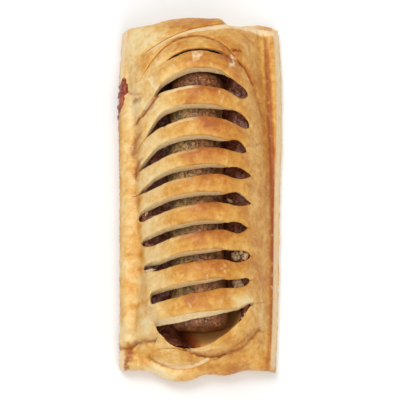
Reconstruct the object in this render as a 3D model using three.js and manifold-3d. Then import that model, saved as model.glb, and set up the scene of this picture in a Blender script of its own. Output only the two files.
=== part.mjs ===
// Frikandel roll: one long sausage lying in curry sauce inside a flat parcel of puff pastry, whose
// slashed lid has opened over it into nine bands. Millimetres, +Z up. +X runs across the roll and +Y
// along it, from the near end, where the sausage shows, to the folded far end. The origin is on the
// surface the roll stands on, under the middle of its outline.
import * as THREE from "three";
import { mergeVertices } from "three/addons/utils/BufferGeometryUtils.js";
import Module from "manifold-3d";

const wasm = await Module();
wasm.setup();

// The pastry's driving dimensions
const nearEndY = -81.6;
const farEndY = 81.6;
const crestHeight = 34;
const rimHeight = 8.5;
const farRimHeight = 13;
const lidThickness = 4.6;
const floorThickness = 3.4;
const gap = 0.3; // between any two pieces

// The sausage
const sausageRadius = 11.7;
const sausageNearY = -61.2;
const sausageFarY = 53;
const sauceUnderSausage = 0.9;
const sausageAxisZ = floorThickness + gap + sauceUnderSausage + gap + sausageRadius;

// The sauce, higher along the right-hand wall than along the left-hand one
const sauceLevelLeft = 11;
const sauceLevelRight = 16;

// The nine openings in the lid, from the near end to the far one, with the place of each end across
// the roll. A lip is where it crosses the middle line, how far it leans and how much it bows.
const openings = [
  { near: [-69.3, 0.237, -0.0294], far: [-57.2, 0.19, -0.005], ends: [-17, 20.5] },
  { near: [-47.4, 0.175, -0.003], far: [-42.8, 0.17, -0.0027], ends: [-21.6, 21] },
  { near: [-34.3, 0.106, -0.0022], far: [-30, 0.149, -0.0008], ends: [-24.2, 21] },
  { near: [-21.8, 0.135, 0], far: [-17.4, 0.121, 0.0006], ends: [-24.3, 20.3] },
  { near: [-9, 0.086, 0.0024], far: [-4.8, 0.12, 0.0006], ends: [-25.3, 21] },
  { near: [3.3, 0.079, 0.0028], far: [7.6, 0.118, 0.0028], ends: [-26.2, 20.6] },
  { near: [15.5, 0.082, 0.0036], far: [21.1, 0.072, 0.0076], ends: [-26, 19.7] },
  { near: [29.3, 0.024, 0.0074], far: [34.9, 0.06, 0.0087], ends: [-20.8, 20.5] },
  { near: [43.3, -0.018, 0.0089], far: [51.1, 0.035, 0.0169], ends: [-18.5, 20.3] },
];

// A smooth line through a few points of a value against a place
function through(...points) {
  const places = points.map(([place]) => place);
  const values = points.map(([, value]) => value);
  const line = new THREE.CubicInterpolant(places, values, 1);
  return (place) => line.evaluate(place)[0];
}

const { clamp, lerp, smoothstep } = THREE.MathUtils;

// The outline in plan
const leftEdge = through([-80, -35], [-45, -35.1], [0, -35.7], [56, -36.5], [80, -35]);
const rightEdge = through([-80, 32.6], [-68, 33.4], [0, 35.5], [31, 36.7], [80, 34.5]);
const nearEdge = through(
  [-36, -76.4], [-21, -77.8], [-12, -81.1], [-5, nearEndY], [3, -79], [14, -78.9], [20, -77.5], [35, -77.4],
);
const farEdge = through([-36, 76.2], [-24, 77.2], [-8, farEndY], [12, 80.2], [28, 80.8], [36, 78.6]);

// The foot of the dome on either side
const domeLeft = through([-78, 24], [-66, 27], [-56, 27.5], [-44, 25.5], [0, 27.5], [60, 30.6]);
const domeRight = through([-78, 27], [0, 29.5], [34, 28.6], [78, 26]);

// How high the crest stands, falling steeply over the open near end and more slowly at the far one
const levelFromY = -54;
const levelToY = 46;

function crest(y) {
  const farFall = clamp((y - levelToY) / (farEndY - levelToY), 0, 1);
  const nearFall = clamp((levelFromY - y) / (levelFromY - nearEndY), 0, 1);
  const far = farRimHeight + (crestHeight - farRimHeight) * (1 - farFall ** 1.8);
  const near = rimHeight + (crestHeight - rimHeight) * (1 - nearFall ** 2.5) ** 3;
  return Math.min(far, near);
}

// The smooth body without its bands: a dome, a rounded seam ridge along the left, a groove pressed
// along the right, and the sheet's cut edge, which slopes at the right, the far right and the left
// corners
const seamRidge = { x: -32, height: 4, spread: 2.8 };
const pressedGroove = { x: 30.8, height: -2, spread: 1.1 };
const cutEdge = { right: 3.4, far: 4.5, left: 3, drop: 5.5, cornerDrop: 3, footZ: 4 };

function longBead({ x: middle, height, spread }, x) {
  return height * Math.exp(-(((x - middle) / spread) ** 2));
}

function bodyHeight(x, y) {
  const half = x < 0 ? domeLeft(y) : domeRight(y);
  const across = clamp(1 - Math.abs(x / half) ** 2.1, 0, 1) ** 0.74;
  const dome = rimHeight + (crest(y) - rimHeight) * across;
  const ridgeShare = smoothstep(y, -60, -44) * (1 - 0.5 * smoothstep(y, 50, 76));
  const beads = ridgeShare * longBead(seamRidge, x) + longBead(pressedGroove, x);
  const rightSlope = cutEdge.drop * smoothstep(x, rightEdge(y) - cutEdge.right, rightEdge(y));
  const leftSlope = cutEdge.cornerDrop * (1 - smoothstep(x, leftEdge(y), leftEdge(y) + cutEdge.left));
  const body = dome + beads - rightSlope - leftSlope * (1 - ridgeShare);
  const farSlope = smoothstep(y, farEdge(x) - cutEdge.far, farEdge(x)) * smoothstep(x, 5, 13);
  return lerp(body, Math.min(body, cutEdge.footZ), farSlope);
}

// A line across the roll, level beyond the stretch where it shows
function acrossLine([y, skew, bow], from = -28, to = 24) {
  return (x) => {
    const at = clamp(x, from, to);
    return y + skew * at - bow * at * at;
  };
}

const [sausageOpening, ...narrowOpenings] = openings;
const nearLips = [
  acrossLine(sausageOpening.near, ...sausageOpening.ends),
  ...narrowOpenings.map(({ near }) => acrossLine(near)),
];
const farLips = openings.map(({ far }) => acrossLine(far));

// The folds that close the two ends, the lowest of each named first
const lowerNearFold = acrossLine([-75.7, 0.317, -0.0223], -21, 8);
const upperNearFold = acrossLine([-71.9, -0.239, -0.0276], -6, 25);
const lowerFarFold = acrossLine([75.3, 0.588, -0.0045], -30, 8);
const middleFarFold = acrossLine([67.5, -0.105, 0.0167]);
const upperFarFold = acrossLine([60.4, 0, 0.0206]);

// The strips that the outer skin is made of, from the near end to the far one. Each has the height of
// its near lip, its middle and its far lip above the smooth body, between the ends that it fades at.
const bands = farLips.map((lip, i) => ({
  near: lip,
  far: nearLips[i + 1] ?? upperFarFold,
  heights: [-0.5, 0.7, -0.5],
  from: -26,
  to: 22,
}));
const strips = [
  { near: nearEdge, far: lowerNearFold, heights: [-1, 0.6, -0.9], from: -30, to: 26 },
  { near: lowerNearFold, far: upperNearFold, heights: [0.6, 0.5, -0.8], from: -24, to: 20 },
  { near: upperNearFold, far: nearLips[0], heights: [0.8, 1.2, -0.4], from: -8, to: 26 },
  { near: nearLips[0], far: farLips[0], heights: [2.2, 3.4, 1.4], from: -33, to: -10 },
  ...bands,
  { near: upperFarFold, far: middleFarFold, heights: [0.9, 1, -0.2], from: -26, to: 18 },
  { near: middleFarFold, far: lowerFarFold, heights: [0.5, 0.6, 0.8], from: -30, to: 20 },
  { near: lowerFarFold, far: farEdge, heights: [-0.8, 0.8, -1], from: -30, to: 14 },
];

// The rows of the skin: four across each strip, and the two ends, which are rounded off a little
const rowFractions = [0.05, 0.3, 0.7, 0.95];
const leastRowSpacing = 0.45;
const fadeHalf = 3;
const roundedEnd = () => -1.2; // mm from the smooth body

function between(x, from, to) {
  return smoothstep(x, from - fadeHalf, from + fadeHalf) * (1 - smoothstep(x, to - fadeHalf, to + fadeHalf));
}

function stripRows({ near, far, heights, from, to }) {
  const section = through([0, heights[0]], [0.5, heights[1]], [1, heights[2]]);
  return rowFractions.map((fraction) => ({
    line: (x) => lerp(near(x), far(x), fraction),
    relief: (x) => section(fraction) * between(x, from, to),
  }));
}

const rows = [
  { line: nearEdge, relief: roundedEnd },
  ...strips.flatMap(stripRows),
  { line: farEdge, relief: roundedEnd },
];

// The rows' places at one x, held in order where two lips run together
function rowPlaces(x) {
  const places = rows.map(({ line }) => line(x));
  for (let row = places.length - 2; row > 0; row -= 1) {
    const room = leastRowSpacing * row;
    places[row] = clamp(places[row], nearEdge(x) + room, places[row + 1] - leastRowSpacing);
  }
  return places;
}

// The columns of the skin as shares of the width: closest over the ridge and over the pressed groove
function evenly(from, to, count) {
  return Array.from({ length: count }, (_, i) => lerp(from, to, i / count));
}
const columns = [...evenly(0, 0.13, 5), ...evenly(0.13, 0.9, 17), ...evenly(0.9, 1, 5), 1];

// A box of many facets, each of its corners moved to where place(u, v, w) puts it, with u, v and w
// running from 0 to 1 along x, y and z
function shapedBox(across, along, up, place) {
  const box = new THREE.BoxGeometry(1, 1, 1, across, along, up);
  const corners = box.attributes.position;
  for (let i = 0; i < corners.count; i += 1) {
    const at = place(corners.getX(i) + 0.5, corners.getY(i) + 0.5, corners.getZ(i) + 0.5);
    corners.setXYZ(i, ...at);
  }
  return box;
}

// A geometry as a solid that can be joined and cut, and back again
function solid(geometry) {
  const bare = geometry.clone();
  bare.deleteAttribute("normal");
  bare.deleteAttribute("uv");
  const merged = mergeVertices(bare, 1e-4);
  return new wasm.Manifold(
    new wasm.Mesh({
      numProp: 3,
      vertProperties: merged.attributes.position.array,
      triVerts: new Uint32Array(merged.index.array),
    }),
  );
}

function geometryOf(made) {
  const { vertProperties, triVerts } = made.getMesh();
  const geometry = new THREE.BufferGeometry();
  geometry.setAttribute("position", new THREE.BufferAttribute(vertProperties, 3));
  geometry.setIndex(new THREE.BufferAttribute(triVerts, 1));
  geometry.computeVertexNormals();
  return geometry;
}

// The parcel's outer form: the skin of strips above and a skirt that bulges a little. It runs on below
// the underside, where a slab cuts it flat.
const sunkZ = -1;

function parcel() {
  const columnCount = columns.length - 1;
  const rowCount = rows.length - 1;
  const skirtLevels = 3;
  const skirtInset = [0.9, 0, 0.1, 0];
  const skirtHeight = [0, 0.3, 0.75, 1];
  return shapedBox(columnCount, rowCount, skirtLevels, (u, v, w) => {
    const column = Math.round(u * columnCount);
    const row = Math.round(v * rowCount);
    const level = Math.round(w * skirtLevels);
    const nominalX = lerp(leftEdge(0), rightEdge(0), columns[column]);
    const rowY = rowPlaces(nominalX)[row];
    const edgeX = lerp(leftEdge(rowY), rightEdge(rowY), columns[column]);
    const inset = skirtInset[level];
    const x = edgeX + inset * ((column === 0) - (column === columnCount));
    const y = rowY + inset * ((row === 0) - (row === rowCount));
    const top = bodyHeight(edgeX, rowY) + rows[row].relief(edgeX);
    return [x, y, level === 0 ? sunkZ : top * skirtHeight[level]];
  });
}

function slabBelow() {
  const slab = new THREE.BoxGeometry(100, 200, -2 * sunkZ);
  return slab.translate(0, 0, sunkZ);
}

// What fills the hollow in the parcel, smaller all round by inset and no higher than level. The floor
// rises to the sides and to the near end, where it shows beyond the sausage.
const hollowNearY = -68;
const hollowFarY = 66;
const hollowWall = 3.2;
const endNarrowing = 0.45;
const floorRise = { side: 2.5, end: 6, length: 7 };
const leastDepth = 1.4;

function filling(inset, level) {
  return shapedBox(12, 20, 2, (u, v, w) => {
    const y = lerp(hollowNearY + inset, hollowFarY - inset, v);
    const width = 1 - endNarrowing * (1 - Math.sqrt(1 - (2 * v - 1) ** 8));
    const left = hollowWall + inset - Math.min(domeLeft(y), 28);
    const right = domeRight(y) - hollowWall - inset;
    const x = lerp(left, right, u) * width;
    const atSide = floorRise.side * Math.abs(2 * u - 1) ** 4;
    const atEnd = floorRise.end * (1 - smoothstep(y, hollowNearY, hollowNearY + floorRise.length));
    const floor = floorThickness + inset + atSide + atEnd;
    const ceiling = Math.min(bodyHeight(x, y) - lidThickness - inset, level(x, y));
    return [x, y, lerp(floor, Math.max(ceiling, floor + leastDepth - 2 * inset), w)];
  });
}

// The prism that cuts one opening through the lid, with rounded ends
const cutFloor = 9;
const cutTop = crestHeight + 4;
const sausageOpeningEndRadius = 1.2;
const openingEndRadius = 2.4;

function openingPrism(nearLip, farLip, [left, right], endRadius) {
  const steps = 14;
  const outline = [];
  for (let i = 0; i <= steps; i += 1) {
    const x = lerp(left, right, (1 - Math.cos((Math.PI * i) / steps)) / 2);
    const endSpace = Math.min(x - left, right - x, endRadius) / endRadius;
    const pinch = (0.5 - 0.5 * Math.sqrt(1 - (1 - endSpace) ** 2)) * (farLip(x) - nearLip(x));
    outline[i] = new THREE.Vector2(x, nearLip(x) + pinch);
    outline[2 * steps + 1 - i] = new THREE.Vector2(x, farLip(x) - pinch);
  }
  const ends = new Set([steps + 1, 2 * steps + 1]);
  const shape = new THREE.Shape(outline.filter((_, i) => !ends.has(i)));
  const prism = new THREE.ExtrudeGeometry(shape, { depth: cutTop - cutFloor, bevelEnabled: false });
  return prism.translate(0, 0, cutFloor);
}

// The sausage: a round bar with a square-cut near end and a rounded far one, a little bent and uneven
const sausageAxisX = through([-64, 0.2], [-30, -1], [10, -1.9], [55, -1.2]);

const nearRound = 1.5;
const farRound = 7;

function sausage(grow) {
  const radius = sausageRadius + grow;
  const near = sausageNearY - grow;
  const far = sausageFarY + grow;
  const profile = new THREE.Path();
  profile.moveTo(0, near);
  profile.lineTo(radius - nearRound, near);
  profile.quadraticCurveTo(radius, near, radius, near + nearRound);
  for (const y of evenly(near + 5, far - farRound, 16)) {
    profile.lineTo(radius, y);
  }
  profile.lineTo(radius, far - farRound);
  profile.bezierCurveTo(radius, far - farRound / 3, radius * 0.6, far, 0, far);
  const bar = new THREE.LatheGeometry(profile.getPoints(4), 24);
  const corners = bar.attributes.position;
  for (let i = 0; i < corners.count; i += 1) {
    const [x, y, z] = [corners.getX(i), corners.getY(i), corners.getZ(i)];
    const swell = 1 + 0.012 * Math.sin(y / 5.3 + 1) + 0.008 * Math.sin(y / 2.9 + x / 6);
    corners.setXYZ(i, x * swell + sausageAxisX(y), y, sausageAxisZ + z * swell);
  }
  return bar;
}

// The sauce's uneven level, and the floor that it leaves bare beyond the sausage
function sauceLevel(x, y) {
  const slope = lerp(sauceLevelLeft, sauceLevelRight, smoothstep(x, -14, 12));
  return slope + 0.6 * Math.sin(x / 2.3 + y / 4.1) + 0.5 * Math.sin(y / 2.7 - x / 3.3);
}

const bareFloorY = -52;
const bareFloorX = -10;

function bareFloor() {
  const shape = new THREE.Shape();
  shape.moveTo(domeRight(0), bareFloorY);
  shape.lineTo(0, bareFloorY);
  shape.quadraticCurveTo(bareFloorX, sausageNearY, bareFloorX, nearEndY);
  shape.lineTo(domeRight(0), nearEndY);
  return new THREE.ExtrudeGeometry(shape, { depth: crestHeight, bevelEnabled: false, curveSegments: 5 });
}

// Bits of onion in the sauce where it shows at the openings' ends: place, half sizes and turn
const onionBits = [
  { x: 12.7, y: -5.6, size: [0.7, 1.3, 1.2], turn: 0.7 },
  { x: 14.8, y: -30.6, size: [1.6, 1.9, 1.3], turn: 0.3 },
  { x: 18.6, y: -31.1, size: [1.2, 1.5, 1.2], turn: -0.5 },
  { x: 15.6, y: -43.1, size: [1.9, 2.3, 1.4], turn: 0.4 },
];

function onionBit({ x, y, size, turn }) {
  const bit = new THREE.SphereGeometry(1, 7, 5);
  bit.rotateX(Math.PI / 2);
  bit.scale(...size);
  bit.rotateZ(turn);
  return bit.translate(x, y, sauceLevel(x, y));
}

// Sauce that has leaked out through the left-hand seam, and the notch that it sits in
const leak = { x: -34.8, y: 48, z: 6, size: [1.8, 6.5, 4.4] };

function leakLump(grow) {
  const lump = new THREE.SphereGeometry(1, 12, 8);
  lump.rotateX(Math.PI / 2);
  lump.scale(...leak.size.map((half) => half + grow));
  return lump.translate(leak.x, leak.y, leak.z);
}

let pastrySolid = solid(parcel()).subtract(solid(slabBelow()));
pastrySolid = pastrySolid.subtract(solid(filling(0, () => crestHeight)));
openings.forEach(({ ends }, i) => {
  const endRadius = i === 0 ? sausageOpeningEndRadius : openingEndRadius;
  const prism = openingPrism(nearLips[i], farLips[i], ends, endRadius);
  pastrySolid = pastrySolid.subtract(solid(prism));
});
pastrySolid = pastrySolid.subtract(solid(leakLump(gap)));

let sauceSolid = solid(filling(gap, sauceLevel)).subtract(solid(bareFloor()));
sauceSolid = sauceSolid.subtract(solid(sausage(gap)));
for (const bit of onionBits) {
  sauceSolid = sauceSolid.add(solid(onionBit(bit)));
}

const group = new THREE.Group();

function addPiece(name, geometry, color, roughness) {
  const mesh = new THREE.Mesh(geometry, new THREE.MeshStandardMaterial({ color, roughness, metalness: 0 }));
  mesh.name = name;
  group.add(mesh);
}

addPiece("pastry", geometryOf(pastrySolid), 0xd9a45a, 0.55);
addPiece("frikandel", sausage(0), 0x6e4a33, 0.6);
addPiece("curry_sauce", geometryOf(sauceSolid), 0x4a1a12, 0.25);
addPiece("leaked_sauce", leakLump(0), 0x6a2113, 0.2);

export default group;
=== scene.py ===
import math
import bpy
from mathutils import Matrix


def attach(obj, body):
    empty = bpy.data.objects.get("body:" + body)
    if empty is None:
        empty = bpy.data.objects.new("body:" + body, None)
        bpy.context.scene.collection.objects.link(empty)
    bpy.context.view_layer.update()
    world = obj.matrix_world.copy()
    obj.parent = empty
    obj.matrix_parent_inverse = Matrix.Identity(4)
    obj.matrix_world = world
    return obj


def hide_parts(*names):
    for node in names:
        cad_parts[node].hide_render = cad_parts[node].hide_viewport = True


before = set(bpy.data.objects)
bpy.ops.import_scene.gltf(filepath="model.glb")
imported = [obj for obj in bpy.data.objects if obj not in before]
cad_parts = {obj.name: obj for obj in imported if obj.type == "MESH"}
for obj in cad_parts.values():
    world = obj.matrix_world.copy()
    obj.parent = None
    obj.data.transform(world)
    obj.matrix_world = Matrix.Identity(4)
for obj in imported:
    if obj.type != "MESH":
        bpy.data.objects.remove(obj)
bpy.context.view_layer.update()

# Frikandel roll: a flat parcel of puff pastry with a slashed lid, open over a sausage in curry sauce.
# Sizes are in millimetres: x runs across the roll, y along it from the open near end, z up.
from types import SimpleNamespace
import bpy
import numpy as np
from mathutils import Vector, noise

millimetre = 0.001
scene = bpy.context.scene

# Small helpers


def smooth(value, start, end):
    share = np.clip((value - start) / (end - start), 0, 1)
    return share * share * (3 - 2 * share)


def window(value, start, end, fade=3.0):  # 1 between start and end, 0 well outside them
    half = fade / 2
    return smooth(value, start - half, start + half) * (1 - smooth(value, end - half, end + half))


def bell(distance, width):
    return np.exp(-((distance / width) ** 2))


def rounding(distance, radius):  # how far a rounded edge has fallen, as a share of its radius
    inside = np.clip(distance / radius, 0, 1)
    return 1 - np.sqrt(1 - (1 - inside) ** 2)


def through(*points):  # a smooth line through a few points of a value against a place
    places, values = np.array(points, float).T
    slopes = np.gradient(values, places)

    def line(place):
        place = np.clip(place, places[0], places[-1])
        start = np.clip(np.searchsorted(places, place, side="right") - 1, 0, len(places) - 2)
        span = places[start + 1] - places[start]
        rise = values[start + 1] - values[start]
        share = (place - places[start]) / span
        leave = slopes[start] * span - rise
        arrive = rise - slopes[start + 1] * span
        return values[start] + share * rise + share * (1 - share) * ((1 - share) * leave + share * arrive)

    return line


def unevenness(x, y, size, seed):  # from -1 to 1, with its hills about size apart
    places = zip(np.ravel(x) / size, np.ravel(y) / size)
    return np.reshape([noise.noise((a, b, seed)) for a, b in places], np.shape(x))


def deselectAll():
    if bpy.context.mode != "OBJECT":
        bpy.ops.object.mode_set(mode="OBJECT")
    bpy.ops.object.select_all(action="DESELECT")


def meshPlaces(mesh):
    places = np.empty(len(mesh.vertices) * 3)
    mesh.vertices.foreach_get("co", places)
    return places.reshape(-1, 3)


def setPlaces(mesh, places):
    mesh.vertices.foreach_set("co", np.ravel(places))
    mesh.update()


def setValue(mesh, name, values):  # a number for each corner, for the material to read
    attribute = mesh.attributes.new(name, "FLOAT", "POINT")
    attribute.data.foreach_set("value", np.ravel(values))


def getValue(mesh, name):
    values = np.empty(len(mesh.vertices))
    mesh.attributes[name].data.foreach_get("value", values)
    return values


def edgeEnds(mesh):
    return np.array([edge.vertices[:] for edge in mesh.edges])


def faceMiddles(mesh):
    return np.array([face.center[:] for face in mesh.polygons]) / millimetre


def choose(mesh, kind, chosen):  # selects some of its faces or edges and leaves it in edit mode
    bpy.ops.object.mode_set(mode="EDIT")
    bpy.ops.mesh.select_mode(type=kind)
    bpy.ops.mesh.select_all(action="DESELECT")
    bpy.ops.object.mode_set(mode="OBJECT")
    parts = mesh.polygons if kind == "FACE" else mesh.edges
    parts.foreach_set("select", chosen)
    bpy.ops.object.mode_set(mode="EDIT")


def joined(pieces, name):
    deselectAll()
    for piece in pieces:
        piece.select_set(True)
    bpy.context.view_layer.objects.active = pieces[0]
    bpy.ops.object.join()
    pieces[0].name = name
    return pieces[0]


# Camera, floor and light

view = {
    "distance": 0.7,
    "tilt": 14,  # degrees from straight above
    "lookAt": (0, -0.0029, 0.012),
    "frameWidth": 0.1748,  # what the frame takes in at the point looked at
}


def makeCamera():
    tilt = math.radians(view["tilt"])
    back = Vector((0, -math.sin(tilt), math.cos(tilt))) * view["distance"]
    bpy.ops.object.camera_add(location=Vector(view["lookAt"]) + back, rotation=(tilt, 0, 0))
    camera = bpy.context.object
    camera.data.sensor_width = 36
    camera.data.lens = 36 * view["distance"] / view["frameWidth"]
    camera.data.clip_start = 0.01
    scene.camera = camera


studio = {
    "floorSize": 6,
    "floorColour": (0.93, 0.93, 0.93),
    "skyStrength": 0.34,
    "lamps": [  # name, place, size, watts
        ("key", (-0.27, 0.44, 0.95), 0.5, 5.3),
        ("front", (0.2, -0.85, 0.75), 0.7, 4.6),
        ("top", (0.2, -0.15, 1.3), 0.9, 3.9),
    ],
}


def makeStudio():
    bpy.ops.mesh.primitive_plane_add(size=studio["floorSize"])
    floor = bpy.context.object
    floor.name = "floor"
    material = bpy.data.materials.new("paleFloor")
    material.use_nodes = True
    shader = material.node_tree.nodes["Principled BSDF"]
    shader.inputs["Base Color"].default_value = (*studio["floorColour"], 1)
    shader.inputs["Roughness"].default_value = 0.9
    floor.data.materials.append(material)
    for name, place, size, power in studio["lamps"]:
        bpy.ops.object.light_add(type="AREA", location=place)
        lamp = bpy.context.object
        lamp.name = name
        lamp.data.size = size
        lamp.data.energy = power
        lamp.rotation_euler = (-Vector(place)).to_track_quat("-Z", "Y").to_euler()
    world = bpy.data.worlds.new("softRoom")
    world.use_nodes = True
    sky = world.node_tree.nodes["Background"]
    sky.inputs["Color"].default_value = (1, 0.99, 0.97, 1)
    sky.inputs["Strength"].default_value = studio["skyStrength"]
    scene.world = world
    scene.view_settings.view_transform = "Standard"


deselectAll()
makeCamera()
makeStudio()
print("camera and studio are set")

# Materials


def colour(red, green, blue):  # from the 0 to 255 of a picture to the linear values that shaders use
    def linear(value):
        value /= 255
        return value / 12.92 if value <= 0.04045 else ((value + 0.055) / 1.055) ** 2.4

    return (linear(red), linear(green), linear(blue), 1)


class Nodes:  # puts nodes in a material and wires them as they are added
    def __init__(self, name):
        self.material = bpy.data.materials.new(name)
        self.material.use_nodes = True
        self.tree = self.material.node_tree
        self.shader = self.tree.nodes["Principled BSDF"]
        self.place = self.add("ShaderNodeTexCoord").outputs["Object"]

    def add(self, kind, **settings):
        node = self.tree.nodes.new(kind)
        for name, value in settings.items():
            setattr(node, name, value)
        return node

    def feed(self, socket, source):
        if isinstance(source, bpy.types.NodeSocket):
            self.tree.links.new(source, socket)
        else:
            socket.default_value = source

    def value(self, name):
        return self.add("ShaderNodeAttribute", attribute_name=name).outputs["Fac"]

    def noise(self, scale, detail=3, roughness=0.55, place=None, distortion=0):
        node = self.add("ShaderNodeTexNoise")
        self.feed(node.inputs["Vector"], place or self.place)
        settings = {"Scale": scale, "Detail": detail, "Roughness": roughness, "Distortion": distortion}
        for name, value in settings.items():
            node.inputs[name].default_value = value
        return node.outputs["Fac"]

    def math(self, operation, first, second=0.0, clamp=False):
        node = self.add("ShaderNodeMath", operation=operation, use_clamp=clamp)
        self.feed(node.inputs[0], first)
        self.feed(node.inputs[1], second)
        return node.outputs[0]

    def shift(self, base, source, amount):  # base, moved up or down by a noise round 0.5
        return self.math("ADD", base, self.math("MULTIPLY", self.math("SUBTRACT", source, 0.5), amount))

    def between(self, source, low, high):  # 0 below low, 1 above high
        node = self.add("ShaderNodeMapRange", interpolation_type="SMOOTHSTEP")
        self.feed(node.inputs["Value"], source)
        node.inputs["From Min"].default_value = low
        node.inputs["From Max"].default_value = high
        return node.outputs["Result"]

    def layers(self, along, height, times):  # a noise in thin layers, each long and at one height
        split = self.add("ShaderNodeSeparateXYZ")
        self.feed(split.inputs[0], self.place)
        stack = self.add("ShaderNodeCombineXYZ")
        self.feed(stack.inputs["X"], self.math("MULTIPLY", split.outputs["X"], along))
        self.feed(stack.inputs["Y"], self.math("MULTIPLY", split.outputs["Y"], along))
        self.feed(stack.inputs["Z"], self.math("MULTIPLY", height or split.outputs["Z"], times))
        return self.noise(1, 3, 0.6, stack.outputs[0])

    def ramp(self, source, *stops):  # stops are (place, colour)
        node = self.add("ShaderNodeValToRGB")
        elements = node.color_ramp.elements
        while len(elements) < len(stops):
            elements.new(0.5)
        for element, (place, tone) in zip(elements, stops):
            element.position = place
            element.color = tone
        self.feed(node.inputs["Fac"], source)
        return node.outputs["Color"]

    def mix(self, share, first, second):
        node = self.add("ShaderNodeMix", data_type="RGBA")
        self.feed(node.inputs["Factor"], share)
        self.feed(node.inputs["A"], first)
        self.feed(node.inputs["B"], second)
        return node.outputs["Result"]

    def bump(self, height, distance, strength=1.0, under=None):
        node = self.add("ShaderNodeBump")
        node.inputs["Distance"].default_value = distance
        node.inputs["Strength"].default_value = strength
        self.feed(node.inputs["Height"], height)
        if under:
            self.feed(node.inputs["Normal"], under)
        return node.outputs["Normal"]

    def finish(self, sockets):  # what the shader is given, by the names of its sockets
        for name, source in sockets.items():
            self.feed(self.shader.inputs[name], source)
        return self.material


crustLook = {
    "cream": colour(240, 214, 160),
    "straw": colour(235, 198, 131),
    "gold": colour(227, 175, 95),
    "golden brown": colour(211, 149, 65),
    "brown": colour(194, 120, 48),
    "dark": colour(174, 98, 42),
    "crease": colour(158, 80, 38),
    "cut": colour(248, 220, 172),
    "cream cut": colour(255, 231, 184),
    "cutShade": colour(238, 186, 126),
    "baked": colour(218, 166, 94),
    "bakedShade": colour(194, 134, 68),
}


def makeCrust():
    look = crustLook
    nodes = Nodes("bakedCrust")
    blotches = nodes.noise(120, 2, 0.5, distortion=0.6)
    mottle = nodes.noise(430, 3, 0.55, distortion=0.3)
    grain = nodes.noise(950, 3, 0.65)
    # the browning value carries painted light and shade as well as the bake
    bakeAndLight = nodes.shift(nodes.value("browningAndLight"), blotches, 0.85)
    bakeAndLight = nodes.shift(bakeAndLight, mottle, 0.6)
    bakeAndLight = nodes.shift(bakeAndLight, grain, 0.38)
    tone = nodes.ramp(
        bakeAndLight,
        (0, look["cream"]),
        (0.2, look["straw"]),
        (0.4, look["gold"]),
        (0.6, look["golden brown"]),
        (0.82, look["brown"]),
        (1, look["dark"]),
    )
    crease = nodes.math("MULTIPLY", nodes.value("crease"), nodes.between(mottle, 0.12, 0.5), clamp=True)
    tone = nodes.mix(crease, tone, look["crease"])
    # the layers that show where the sheet was cut
    leaves = nodes.layers(260, None, 1400)
    cutTone = nodes.mix(nodes.between(leaves, 0.45, 0.75), look["cut"], look["cutShade"])
    # pale: the cut pastry, and painted highlights on flakes, edges and the bands' far edges
    tone = nodes.mix(nodes.value("pale"), tone, cutTone)
    roughness = nodes.shift(0.42, mottle, 0.3)
    relief = nodes.bump(grain, 0.0002, 0.5, nodes.bump(mottle, 0.0006, 0.45))
    return nodes.finish(
        {"Base Color": tone, "Roughness": roughness, "Specular IOR Level": 0.28, "Normal": relief}
    )


def makeLayers(name, light, shade, between):  # leaves run along the cut and follow each other down it
    nodes = Nodes(name)
    leaves = nodes.layers(300, nodes.value("depth"), 15)
    tone = nodes.ramp(leaves, (0.3, shade), (0.46, light), (0.6, between), (0.7, light))
    relief = nodes.bump(leaves, 0.0006, 0.8)
    return nodes.finish({"Base Color": tone, "Roughness": 0.7, "Specular IOR Level": 0.25, "Normal": relief})


crust = makeCrust()
cutLayers = makeLayers("cutLayers", crustLook["cream cut"], crustLook["cutShade"], crustLook["straw"])
bakedLayers = makeLayers("bakedLayers", crustLook["baked"], crustLook["bakedShade"], crustLook["straw"])

# The roll's outline seen from above, and the dome that the bands and folds lie on

outline = {
    "left": through((-80, -35), (-45, -35.1), (0, -35.7), (56, -36.5), (80, -35)),
    "right": through((-80, 32.6), (-68, 33.4), (0, 35.5), (31, 36.7), (60, 36.7), (80, 35.6)),
    "near": through(
        (-36, -76.4), (-21, -77.8), (-12, -81.1), (-5, -81.6), (3, -79), (14, -78.9), (20, -77.5), (35, -77.4)
    ),
    "far": through(
        (-36, 78.2), (-29, 78.2), (-22, 78.8), (-13, 81.4), (-6, 82.1), (2, 81.8), (9, 81.4), (13, 80.3),
        (28, 80.8), (36, 78.6)
    ),
}

body = {
    "crest": 33.4,
    "rim": 8.5,
    "farRim": 13,
    "levelFrom": -54,  # the crest is level from here
    "levelTo": 46,
    "nearEnd": -81.6,
    "farEnd": 81.6,
    # how far out the foot of the dome lies
    "footLeft": through((-78, 24), (-66, 27), (-56, 27.5), (-44, 25.5), (0, 27.5), (40, 29.5), (62, 32.5)),
    "footRight": through((-78, 27), (0, 29.5), (34, 28.6), (78, 26)),
    "fallShapes": (1.8, 2.5, 3),  # how the crest comes down: far end, then near end
    "domeShape": (2.1, 0.74),  # how square its section is, and how full
    "footSoftness": 0.003,
    "ridgeX": -32,
    "ridgeHeight": 2.2,
    "ridgeSpread": 4.1,
    "ridgeFrom": (-60, -44),
    "ridgeTo": (34, 62),
    "ridgeLump": 13,
    "rightSlope": (3.4, 5.5),  # how wide and how deep the cut edge slopes
    "leftSlope": (3, 3),
    "farSlope": 4.5,
    "farSlopeFrom": (8, 14),
    "farFoot": 4,  # how low the cut far end comes
}


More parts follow.
